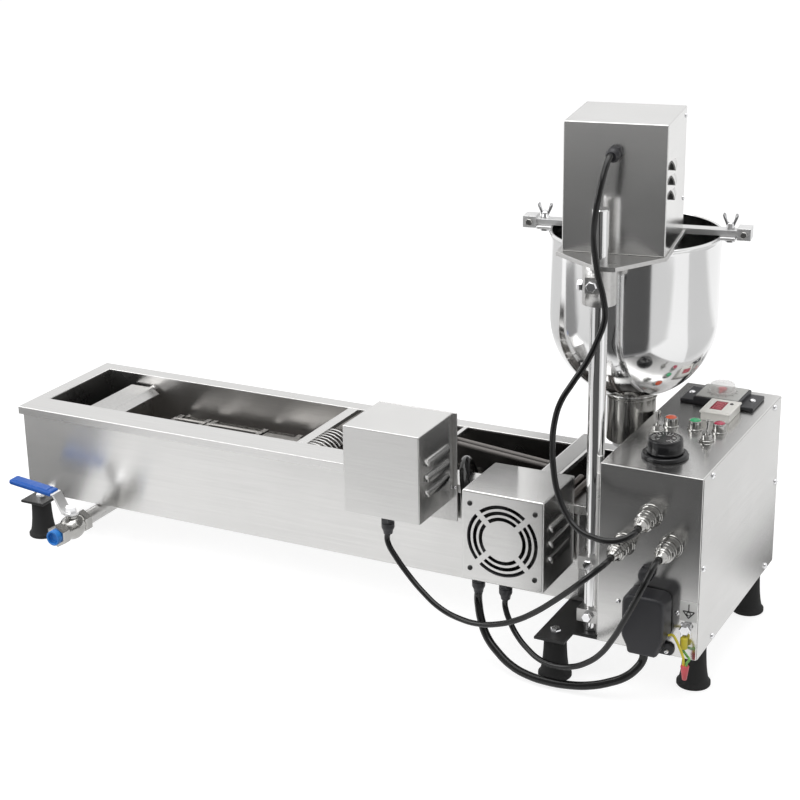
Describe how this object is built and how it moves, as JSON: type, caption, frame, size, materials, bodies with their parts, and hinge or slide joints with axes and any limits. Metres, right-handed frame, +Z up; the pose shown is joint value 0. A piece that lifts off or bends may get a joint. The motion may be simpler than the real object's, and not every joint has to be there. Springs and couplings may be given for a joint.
{
  "type": "doughnut fryer",
  "caption": "Table-top ring doughnut fryer: oil trough with chain conveyor, batter hopper with plunger on a post, motor and heater boxes on the rim and a control box.",
  "frame": {"origin": "on the floor, under the middle of the box round the machine without its cords", "axes": "+X along the trough from the discharge well to the control box, +Y from the boxes on the near rim to the far rim, +Z up"},
  "size_m": [1.015, 0.3845, 0.65],
  "materials": {
    "brushed_steel": "brushed, satin",
    "stained_steel": "brushed, stained by oil",
    "satin_steel": "satin",
    "bright_steel": "bright",
    "polished_steel": "polished",
    "dark_steel": "dull, oily",
    "chrome": "polished",
    "black_plastic": "satin",
    "black_rubber": "dull",
    "black_paint": "satin",
    "blue_plastic": "gloss",
    "lamp_red": "clear coloured",
    "white_plastic": "satin",
    "clear_plastic": "clear",
    "green_wire": "satin",
    "yellow_wire": "satin",
    "red_plastic": "satin"
  },
  "bodies": {
    "frame": {"tank_casing": "brushed_steel", "oil_tank": "stained_steel", "tank_bridges": "satin_steel", "conveyor_chain": "dark_steel", "heater_tubes": "dark_steel", "motor_cover": "brushed_steel", "motor_hanger": "brushed_steel", "gearmotors": "dark_steel", "heater_cover": "brushed_steel", "fan_frame": "black_plastic", "heater_sleeve": "black_rubber", "cable_glands": "black_plastic", "cross_rails": "black_paint", "rubber_feet": "black_rubber", "hex_bolts": "bright_steel", "drain_pipe": "bright_steel", "valve_body": "bright_steel", "outlet_plug": "blue_plastic", "post": "bright_steel", "post_bracket": "brushed_steel", "head_plate": "brushed_steel", "head_cover": "brushed_steel", "hopper": "polished_steel", "forming_cylinder": "polished_steel", "hopper_bar": "bright_steel", "wing_nuts": "bright_steel", "control_housing": "brushed_steel", "side_cover": "brushed_steel", "small_screws": "bright_steel", "thermostat_body": "black_plastic", "panel_fittings": "chrome", "lamp_lenses": "lamp_red", "counter_body": "white_plastic", "timer_body": "black_plastic", "connector_plugs": "chrome", "fuse_holder": "black_plastic", "terminal_cover": "black_plastic", "head_cord": "black_rubber", "conveyor_cord": "black_rubber", "fan_cord": "black_rubber", "heater_cable": "black_rubber", "earth_wire": "green_wire", "link_wire": "yellow_wire", "wire_cap": "red_plastic"},
    "discharge_flipper": {"discharge_flipper": "brushed_steel"},
    "turner_flipper": {"turner_flipper": "stained_steel"},
    "drive_shaft": {"drive_shaft": "satin_steel"},
    "idler_shaft": {"idler_shaft": "satin_steel"},
    "motor_shaft": {"motor_shaft": "satin_steel"},
    "fan_rotor": {"fan_rotor": "black_plastic"},
    "valve_handle": {"valve_stem": "bright_steel", "valve_lever": "bright_steel", "lever_grip": "blue_plastic"},
    "crank": {"crank_disc": "bright_steel"},
    "connecting_rod": {"connecting_rod": "bright_steel"},
    "plunger": {"plunger": "bright_steel"},
    "temperature_knob": {"temperature_knob": "black_plastic"},
    "toggle_left": {"toggle_left": "chrome"},
    "toggle_right": {"toggle_right": "chrome"},
    "timer_dial": {"timer_dial": "clear_plastic"}
  },
  "joints": [
    {"name": "discharge_tilt", "type": "hinge", "parent": "frame", "child": "discharge_flipper", "pos_m": [-0.4095, 0.048, 0.164], "axis": [0, 1, 0], "range_deg": [0, 45]},
    {"name": "turner_turn", "type": "hinge", "parent": "frame", "child": "turner_flipper", "pos_m": [0.0125, 0.048, 0.15], "axis": [0, -1, 0], "range_deg": [0, 160]},
    {"name": "motor_spin", "type": "hinge", "parent": "frame", "child": "motor_shaft", "pos_m": [0.1125, -0.057, 0.21], "axis": [0, 1, 0], "continuous": true},
    {"name": "drive_spin", "type": "hinge", "parent": "frame", "child": "drive_shaft", "pos_m": [0.1125, 0.048, 0.12], "axis": [0, 1, 0], "continuous": true},
    {"name": "idler_spin", "type": "hinge", "parent": "frame", "child": "idler_shaft", "pos_m": [-0.3555, 0.048, 0.12], "axis": [0, 1, 0], "continuous": true},
    {"name": "fan_spin", "type": "hinge", "parent": "frame", "child": "fan_rotor", "pos_m": [0.2705, -0.147, 0.165], "axis": [0, 1, 0], "continuous": true},
    {"name": "valve_turn", "type": "hinge", "parent": "frame", "child": "valve_handle", "pos_m": [-0.3875, -0.121, 0.065], "axis": [0, 0, 1], "range_deg": [0, 90]},
    {"name": "crank_spin", "type": "hinge", "parent": "frame", "child": "crank", "pos_m": [0.35199, 0.02931, 0.59], "axis": [-0.1616, 0.9869, 0], "continuous": true},
    {"name": "plunger_slide", "type": "slide", "parent": "frame", "child": "plunger", "axis": [0, 0, 1], "range_m": [0, 0.03]},
    {"name": "rod_swing", "type": "hinge", "parent": "plunger", "child": "connecting_rod", "pos_m": [0.34925, 0.04609, 0.52], "axis": [-0.1616, 0.9869, 0], "range_deg": [-14, 14]},
    {"name": "temperature_turn", "type": "hinge", "parent": "frame", "child": "temperature_knob", "pos_m": [0.4405, -0.091, 0.29], "axis": [0, 0, 1], "range_deg": [0, 270]},
    {"name": "timer_turn", "type": "hinge", "parent": "frame", "child": "timer_dial", "pos_m": [0.4425, 0.113, 0.29], "axis": [0, 0, 1], "range_deg": [0, 300]},
    {"name": "toggle_left_flip", "type": "hinge", "parent": "frame", "child": "toggle_left", "pos_m": [0.4075, -0.025, 0.284], "axis": [1, 0, 0], "range_deg": [0, 24]},
    {"name": "toggle_right_flip", "type": "hinge", "parent": "frame", "child": "toggle_right", "pos_m": [0.4695, -0.031, 0.284], "axis": [1, 0, 0], "range_deg": [0, 24]}
  ],
  "couplings": [
    {"joint": "drive_spin", "follows": "motor_spin", "ratio": 1},
    {"joint": "idler_spin", "follows": "motor_spin", "ratio": 1}
  ]
}
